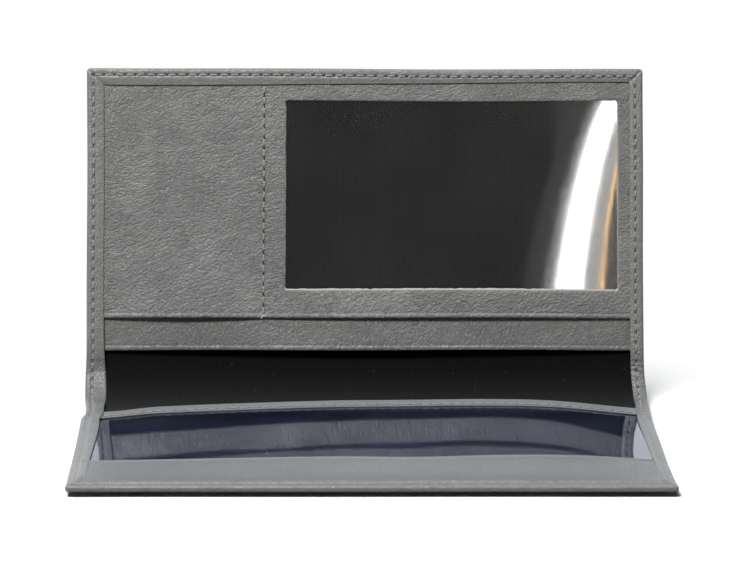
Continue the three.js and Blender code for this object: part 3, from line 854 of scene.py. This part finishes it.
class Nodes:
    """Short way to write a tree of shader nodes."""

    def __init__(self, tree):
        self.tree = tree

    def feed(self, socket, value):
        if isinstance(value, bpy.types.NodeSocket):
            self.tree.links.new(value, socket)
        else:
            socket.default_value = value

    def node(self, kind, inputs=(), **settings):
        made = self.tree.nodes.new("ShaderNode" + kind)
        for key, value in settings.items():
            setattr(made, key, value)
        for key, value in dict(inputs).items():
            self.feed(made.inputs[key], value)
        return made

    def maths(self, how, a, b=0.0):
        return self.node("Math", {0: a, 1: b}, operation=how).outputs[0]

    def vectors(self, how, inputs):
        return self.node("VectorMath", inputs, operation=how).outputs

    def product(self, a, b):
        return self.maths("MULTIPLY", a, b)

    def one_minus(self, value):
        return self.maths("SUBTRACT", 1.0, value)

    def ramp(self, value, low, high, to_low=0.0, to_high=1.0):
        ends = {"From Min": low, "From Max": high, "To Min": to_low, "To Max": to_high}
        made = self.node("MapRange", {"Value": value, **ends}, interpolation_type="SMOOTHSTEP")
        return made.outputs["Result"]


class Shader(Nodes):
    """Node material with one Principled shader, drawn on the flat pattern."""

    def __init__(self, name):
        self.material = bpy.data.materials.new(name)
        self.material.use_nodes = True
        super().__init__(self.material.node_tree)
        self.surface = self.tree.nodes["Principled BSDF"]

    def noise(self, place, scale, detail=3.0, rough=0.55):
        inputs = {"Vector": place, "Scale": scale, "Detail": detail, "Roughness": rough}
        return self.node("TexNoise", inputs).outputs["Fac"]

    def cells(self, place, scale, dimensions="3D"):
        inputs = {"Vector": place, "Scale": scale}
        made = self.node("TexVoronoi", inputs, feature="F1", voronoi_dimensions=dimensions)
        return made.outputs["Distance"]

    def place(self, stretch=(1, 1), turn=0.0, stir=0.0, stir_scale=0.3):
        """Pattern place, stirred by noise. What is drawn there is stretched along x and s, and turned."""
        at = self.node("Attribute", attribute_name="pattern").outputs["Vector"]
        if stir:
            swirl = self.node("TexNoise", {"Vector": at, "Scale": stir_scale, "Detail": 2.0})
            centred = self.vectors("SUBTRACT", {0: swirl.outputs["Color"], 1: (0.5, 0.5, 0.5)})[0]
            pushed = self.vectors("SCALE", {0: centred, "Scale": stir})[0]
            at = self.vectors("ADD", {0: at, 1: pushed})[0]
        drawn_out = {"Vector": at, "Rotation": (0, 0, turn), "Scale": (*stretch, 1)}
        return self.node("Mapping", drawn_out, vector_type="TEXTURE").outputs["Vector"]

    def worn(self):
        return self.node("Attribute", attribute_name="worn").outputs["Fac"]

    def mix(self, share, a, b):
        made = self.node("Mix", {"Factor": share}, data_type="RGBA")
        for socket, value in ((made.inputs[6], a), (made.inputs[7], b)):
            self.feed(socket, value if isinstance(value, bpy.types.NodeSocket) else (*value, 1))
        return made.outputs[2]

    def bump(self, height, depth, below=None):
        inputs = {"Height": height, "Distance": depth * MM, "Strength": 1.0}
        if below is not None:
            inputs["Normal"] = below
        return self.node("Bump", inputs).outputs["Normal"]

    def finish(self, **values):
        for key, value in values.items():
            self.feed(self.surface.inputs[key.replace("_", " ")], value)
        return self.material


GREY = (0.169, 0.168, 0.165)
# GREY tinted cool: painted light from the blue sky, on the leather of the lower half.
SKY_LIT_GREY = (0.162, 0.166, 0.174)
RIB, WEFT = 0.75, 0.3


def shade(colour, factor):
    return [min(c * factor, 1) for c in colour]


def leather(name, colour, creases, grain=1.0, flow=20, gloss=0.5, painted_light=None):
    """Leather whose pebbles and creases follow a flow, in degrees. It is paler where it is worn. The
    hollows between its pebbles and the lines of its creases are painted darker, as shade, and a function,
    if given, paints more light and shade into its tone.
    """
    g = Shader(name)

    def drawn(stretch, turn=0):
        turned = math.radians(flow + turn)
        return g.place(stretch=(stretch, 1.0), turn=turned, stir=14.0, stir_scale=0.022)

    def wrinkles(turn, size, width):
        off_line = g.maths("SUBTRACT", g.noise(drawn(3.4, turn), size, 4.0, 0.62), 0.5)
        return g.ramp(g.maths("ABSOLUTE", off_line), 0.0, width)

    def patches(size, low, high):
        return g.ramp(g.noise(g.place(), size, 2.0), low, high)

    def where(mask, height):
        return g.one_minus(g.product(g.one_minus(height), mask))

    pebble = g.ramp(g.cells(drawn(1.3), 1.45), 0.1, 0.8, 1.0, 0.0)
    fine = g.noise(g.place(), 2.6, 4.0, 0.6)
    long_folds = where(patches(0.05, 0.36, 0.6), wrinkles(0, 0.8, 0.08))
    cross_folds = where(patches(0.07, 0.42, 0.68), wrinkles(-40, 0.7, 0.06))
    fold = g.product(long_folds, cross_folds)
    swell = g.noise(drawn(1.7), 0.42, 3.0)
    mottled = g.noise(g.place(), 0.4, 4.0, 0.65)
    dark, pale = shade(colour, 0.6), shade(colour, 1.35)
    tone = g.mix(g.ramp(mottled, 0.25, 0.75, 0.0, 0.6), shade(colour, 0.92), shade(colour, 1.1))
    # Painted shade: the hollows between pebbles and the crease lines are darkened.
    tone = g.mix(g.ramp(pebble, 0.0, 0.5, 0.3 * grain, 0.0), tone, dark)
    tone = g.mix(g.product(g.one_minus(fold), 0.22 * creases), tone, dark)
    tone = g.mix(g.product(g.worn(), g.ramp(mottled, 0.3, 0.7, 0.15, 0.6)), tone, pale)
    # Light and shade painted into the tone, when a function for it is given.
    if painted_light:
        tone = painted_light(g, tone)
    height = g.bump(swell, 0.4 * creases)
    height = g.bump(fold, 0.13 * creases, height)
    height = g.bump(pebble, 0.12 * grain, height)
    height = g.bump(fine, 0.16 * grain, height)
    rough = g.ramp(pebble, 0.0, 1.0, 0.44, 0.29)
    return g.finish(
        Base_Color=tone, Roughness=rough, Normal=height, Specular_IOR_Level=gloss,
        Sheen_Weight=0.05, Sheen_Roughness=0.45,
    )


def cover_light_and_shade(g, tone):
    """Painted shade darkens the cover along the spine, where it turns away from the light, and painted
    light makes the side hems of the lower half paler and cooler.
    """
    s = g.node("SeparateXYZ", {"Vector": g.place()}).outputs["Y"]
    spine = g.product(g.ramp(s, -4, 6), g.ramp(s, 20, 32, 1.0, 0.0))
    sides = g.product(g.ramp(s, -18, -8, 1.0, 0.0), g.ramp(s, -84, -72))
    # Painted shade along the spine, then painted light along the side hems of the lower half.
    tone = g.mix(g.product(spine, 0.55), tone, shade(GREY, 0.66))
    return g.mix(g.product(sides, 0.75), tone, shade(SKY_LIT_GREY, 1.38))


def ribbed_lining(name):
    """Black lining with fine ribs across the fold and specks of lint, painted paler where it lies flat,
    as the light that falls there.
    """
    g = Shader(name)
    at = g.node("SeparateXYZ", {"Vector": g.place(stir=0.12, stir_scale=0.4)})
    x, s = at.outputs["X"], at.outputs["Y"]
    rib = g.maths("SINE", g.product(x, 2 * math.pi / RIB))
    weft = g.maths("SINE", g.product(s, 2 * math.pi / WEFT))
    weave = g.maths("ADD", rib, g.product(weft, 0.35))
    streak = g.noise(g.place(stretch=(0.6, 20.0)), 1.0, 3.0)
    crest = g.ramp(weave, -1.2, 1.2)
    tone = g.mix(crest, (0.0028, 0.0028, 0.0027), (0.0056, 0.0054, 0.0053))
    tone = g.mix(g.ramp(streak, 0.5, 0.8, 0.0, 0.35), tone, (0.008, 0.0075, 0.0075))
    # Painted light: the lining is greyed towards where it lies flat and faces the light.
    flat_lit_tone = g.mix(crest, (0.0135, 0.0133, 0.0135), (0.0245, 0.0242, 0.0245))
    tone = g.mix(g.ramp(s, -3.0, MIDDLE + 7, 1.0, 0.0), tone, flat_lit_tone)
    lint = g.ramp(g.cells(g.place(), 0.06, "2D"), 0.004, 0.012, 1.0, 0.0)
    tone = g.mix(lint, tone, (0.075, 0.075, 0.075))
    return g.finish(
        Base_Color=tone, Roughness=0.7, Normal=g.bump(weave, 0.008), Specular_IOR_Level=0.03,
        Sheen_Weight=0.9, Sheen_Roughness=0.25,
    )


def clear_film(name, tint, clear, rough):
    """Clear vinyl sheet with a little haze of its tint."""
    g = Shader(name)
    smear = g.ramp(g.noise(g.place(), 0.08, 3.0), 0.35, 0.75, rough * 0.8, rough * 1.2)
    height = g.bump(g.noise(g.place(), 0.06, 2.0), 0.015)
    haze = g.ramp(g.noise(g.place(), 0.03, 3.0), 0.35, 0.7, 0.6 * (1 - clear), 1.4 * (1 - clear))
    return g.finish(
        Base_Color=(*tint, 1), Roughness=smear, Normal=height, IOR=1.7,
        Transmission_Weight=g.one_minus(haze),
    )


def fibrous(name, scale, detail, depth, dark, pale, **surface):
    """Matt stuff whose fibres vary between two tones."""
    g = Shader(name)
    fibre = g.noise(g.place(), scale, detail, 0.7)
    tone = g.mix(g.ramp(fibre, 0.3, 0.7), dark, pale)
    return g.finish(Base_Color=tone, Normal=g.bump(fibre, depth), **surface)


def sewing_thread(name, colour):
    return fibrous(
        name, 4.0, 4.0, 0.08, shade(colour, 0.6), shade(colour, 1.2),
        Roughness=0.7, Specular_IOR_Level=0.3, Sheen_Weight=0.3,
    )


# Near-black colour of the needle holes: painted shade of their depth.
def painted_hole_shade(name):
    g = Shader(name)
    fibre = g.noise(g.place(), 6.0, 3.0)
    tone = g.mix(fibre, (0.02, 0.02, 0.02), (0.05, 0.048, 0.045))
    return g.finish(Base_Color=tone, Roughness=0.95, Normal=g.bump(fibre, 0.03), Specular_IOR_Level=0.1)


def card_board(name):
    g = Shader(name)
    fibre = g.noise(g.node("TexCoord").outputs["Object"], 900.0, 5.0, 0.7)
    tone = g.mix(g.ramp(fibre, 0.3, 0.7), (0.26, 0.22, 0.17), (0.38, 0.33, 0.26))
    return g.finish(Base_Color=tone, Roughness=0.9, Normal=g.bump(fibre, 0.05), Specular_IOR_Level=0.2)


# The cover's tone carries painted shade along the spine and painted light on the lower side hems.
COVER = leather(
    "cover_leather", shade(GREY, 1.04), creases=0.4, grain=0.5, flow=50, gloss=0.55, painted_light=cover_light_and_shade
)
POCKET = leather("pocket_leather", shade(GREY, 1.02), creases=1.0)
# The facing is the panel's leather painted darker, as shade low on the upper half.
FACING_SKIN = leather("facing_leather", shade(GREY, 0.8), creases=0.8, grain=0.55, flow=64)
# The band and binding are painted paler and cooler than the panel's leather, as light from the sky on the
# lower half.
BAND_SKIN = leather("band_leather", shade(SKY_LIT_GREY, 1.05), creases=0.12, grain=0.25)
BINDING_SKIN = leather("binding_leather", shade(SKY_LIT_GREY, 1.22), creases=0.2, grain=0.4)
RIBBED = ribbed_lining("black_lining")
POCKET_CLEAR = clear_film("blue_tinged_vinyl", (0.6, 0.68, 1.0), clear=0.991, rough=0.035)
WINDOW_CLEAR = clear_film("clear_vinyl", (1.0, 0.98, 0.95), clear=0.995, rough=0.04)
THREAD_GREY = sewing_thread("grey_thread", (0.29, 0.283, 0.258))
# Paler copy of the grey thread: painted highlight on the loose thread end.
THREAD_END_HIGHLIGHT = sewing_thread("thread_end_painted_highlight", (0.62, 0.6, 0.55))
HOLE_SHADE = painted_hole_shade("painted_hole_shade")
RAW = fibrous(
    "raw_edge", 3.0, 5.0, 0.1, (0.30, 0.27, 0.25), (0.45, 0.41, 0.39),
    Roughness=0.85, Specular_IOR_Level=0.2,
)
BOARD = card_board("stiffener_card")


# Pieces, where they ride and what they stand for

SPINE_MIDDLE = Vector(stand([0, MIDDLE, 0]))


def bends_low(obj):
    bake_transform(obj)


def bends_high(obj):
    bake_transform(obj)


def on_lower(obj):
    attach(obj, "lower_half")


def on_upper(obj):
    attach(obj, "upper_half")


def fit(obj, hold, slot, *nodes):
    hold(obj)
    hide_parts(*nodes)
    return obj


fit(outer_leather("outer_leather_lower", LOWER, COVER), bends_low, "cover_leather", "lower_cover")
fit(
    outer_leather("outer_leather_upper", UPPER, COVER),
    bends_high, "cover_leather", "upper_cover", "spine_cover",
)
lower_lining = fit(
    lining("lining_lower", FRONT_END, MIDDLE, INNER_FACE, RIBBED), bends_low, "lining", "lower_lining"
)
upper_lining = fit(
    lining("lining_upper", MIDDLE, TOP_END, INNER_FACE, RIBBED),
    bends_high, "lining", "upper_lining", "spine_lining",
)
slip_lining = fit(
    lining("lining_slip_pocket", SPINE + SLIP_FROM, TOP_END, SLIP_LINING_TOP, RIBBED, slip_gape),
    on_upper, "lining", "slip_lining",
)
fit(pocket_film(POCKET_CLEAR), on_lower, "clear_film", "pocket_film")
fit(pocket_binding(BINDING_SKIN), on_lower, "pocket_leather", "pocket_binding")
band = pocket_leather(
    "front_band", BAND_REAR, FRONT_END, BAND_AT, BAND_LIP, pocket_rise, BAND_SKIN, band_trim
)
fit(band, on_lower, "pocket_leather", "pocket_band")
facing = pocket_leather(
    "slip_pocket_facing", FACING_MOUTH, FACING_END, FACING_AT, FACING_LIP, facing_rise, FACING_SKIN
)
fit(facing, on_upper, "pocket_leather", "slip_facing")
fit(window_film(WINDOW_CLEAR), on_upper, "clear_film", "window_film")
fit(window_panel(POCKET, RAW), on_upper, "pocket_leather", "window_panel")
fit(
    hem_seams("hem_stitches_lower", LOWER, THREAD_GREY, HOLE_SHADE), bends_low, "thread",
    "lower_seam_left", "lower_seam_right", "lower_seam_front",
)
fit(
    hem_seams("hem_stitches_upper", UPPER, THREAD_GREY, HOLE_SHADE), bends_high, "thread",
    "upper_seam_left", "upper_seam_right", "upper_seam_top", "spine_seam_left", "spine_seam_right",
)
fit(binding_seam(THREAD_GREY, HOLE_SHADE), on_lower, "thread", "binding_seam")
fit(divider_seam(THREAD_GREY, HOLE_SHADE, THREAD_END_HIGHLIGHT), on_upper, "thread", "divider_seam")
fit(stiffener("stiffener_lower", FRONT_END, 0, BOARD), on_lower, "board", "lower_board")
fit(stiffener("stiffener_upper", SPINE, TOP_END, BOARD), on_upper, "board", "upper_board")


# Studio

WHITE, WARM, SKY_BLUE, WOOD = (1, 1, 1), (1.0, 0.985, 0.96), (0.56, 0.77, 1.0), (1, 0.65, 0.3)

# Strips of light that the window mirrors: place, width, watts and colour
STRIP_AIM = (0.06, 0.04, 0.06)
STRIP_HEIGHT = 0.9
STRIPS = {
    "front_strip": ((0.245, -1.25, 0.55), 0.05, 1.8, WHITE),
    "front_glow": ((0.26, -1.26, 0.55), 0.085, 0.6, WHITE),
    "wooden_post": ((0.304, -1.25, 0.5), 0.004, 0.16, WOOD),
    "shoulder_near": ((0.2145, -1.25, 0.55), 0.011, 0.07, WHITE),
    "shoulder_mid": ((0.203, -1.25, 0.55), 0.012, 0.035, WHITE),
    "shoulder_far": ((0.178, -1.25, 0.55), 0.038, 0.019, WHITE),
    "shoulder_right": ((0.334, -1.25, 0.55), 0.054, 0.08, WHITE),
}

TABLE_REACH = 3.0
TABLE_FADE = (0.11, 0.2)
DIM_FRONT, EVEN_LIGHT = 0.11, 0.025

# Camera of the photograph: its picture and lens in pixels, and its sensor in millimetres
PHOTO_WIDTH, FOCAL_LENGTH, SENSOR = 753, 3398, 36
CAMERA_AT = (-0.02201, -0.97252, 0.27750)
PITCH, YAW, ROLL = (math.radians(a) for a in (13.354, 1.43, 0.381))


def soft_box(name, at, aim, size, watts, colour):
    lamp = bpy.data.lights.new(name, "AREA")
    lamp.shape = "RECTANGLE"
    lamp.size, lamp.size_y = size
    lamp.energy = watts
    lamp.color = colour
    made = add_object(name, lamp)
    made.location = at
    made.rotation_mode = "QUATERNION"
    made.rotation_quaternion = (Vector(aim) - Vector(at)).to_track_quat("-Z", "Y")
    return made


def lamps():
    """A warm lamp overhead, a blue one from the sky, and the strips, which light the window alone."""
    soft_box("overhead", (-0.35, -0.58, 1.12), (0, 0.0, 0.03), (0.5, 0.32), 23.8, WARM)
    sky = soft_box("skylight", (0, 0.15, 1.2), (0, 0, 0.02), (0.5, 0.3), 4.4, SKY_BLUE)
    sky.visible_glossy = False
    mirrors = bpy.data.collections.new("mirrors_the_strips")
    mirrors.objects.link(bpy.data.objects["window_clear_film"])
    for name, (at, width, watts, colour) in STRIPS.items():
        strip = soft_box(name, at, STRIP_AIM, (width, STRIP_HEIGHT), watts, colour)
        strip.light_linking.receiver_collection = mirrors


def table_top():
    """Plain white table, which passes into the white background away from the object."""
    g = Shader("table_white")
    at = g.node("TexCoord").outputs["Object"]
    path = g.node("LightPath")
    seen = path.outputs["Is Camera Ray"]
    seen_or_mirrored = g.maths("MAXIMUM", seen, path.outputs["Is Glossy Ray"])
    tone = g.mix(g.noise(at, 40.0, 3.0), (0.93, 0.93, 0.93), (0.95, 0.95, 0.95))
    tone = g.mix(seen_or_mirrored, (0.14, 0.12, 0.11), tone)
    from_front = g.vectors("ADD", {0: at, 1: (0, 0.08, 0)})[0]
    away = g.vectors("LENGTH", {0: from_front})["Value"]
    fades = g.product(seen, g.ramp(away, *TABLE_FADE))
    g.finish(Base_Color=tone, Roughness=0.8, Specular_IOR_Level=0.1, Alpha=g.one_minus(fades))
    mesh = bpy.data.meshes.new("table")
    corners = [(x * TABLE_REACH, y * TABLE_REACH, 0) for x, y in ((-1, -1), (1, -1), (1, 1), (-1, 1))]
    mesh.from_pydata(corners, [], [[0, 1, 2, 3]])
    mesh.materials.append(g.material)
    table = add_object("table", mesh)


def studio_world():
    """White to the camera and behind the object, dim in front of it, with a soft even light."""
    world = bpy.data.worlds.new("studio")
    bpy.context.scene.world = world
    world.use_nodes = True
    world.node_tree.nodes.clear()
    g = Nodes(world.node_tree)
    way = g.node("SeparateXYZ", {"Vector": g.node("TexCoord").outputs["Generated"]})
    behind = g.ramp(way.outputs["Y"], -0.1, 0.45, DIM_FRONT, 1.0)
    path = g.node("LightPath")
    mirrored = g.maths("MAXIMUM", path.outputs["Is Glossy Ray"], path.outputs["Is Transmission Ray"])
    strength = g.node("Mix", {"Factor": mirrored, "A": EVEN_LIGHT, "B": behind}).outputs["Result"]
    shown = g.node("Mix", {"Factor": path.outputs["Is Camera Ray"], "A": strength, "B": 1.0})
    back = g.node("Background", {"Color": (1, 1, 1, 1), "Strength": shown.outputs["Result"]})
    g.node("OutputWorld", {"Surface": back.outputs[0]})


def photograph_camera():
    lens = bpy.data.cameras.new("camera")
    lens.sensor_width = SENSOR
    lens.lens = FOCAL_LENGTH / PHOTO_WIDTH * SENSOR
    lens.clip_start, lens.clip_end = 0.05, 20
    camera = add_object("camera", lens)
    turn = Matrix.Rotation(-YAW, 4, "Z") @ Matrix.Rotation(math.pi / 2 - PITCH, 4, "X")
    camera.matrix_world = Matrix.Translation(CAMERA_AT) @ turn @ Matrix.Rotation(ROLL, 4, "Z")
    bpy.context.scene.camera = camera


lamps()
table_top()
studio_world()
photograph_camera()
bpy.context.scene.view_settings.view_transform = "Standard"

bpy.context.view_layer.update()
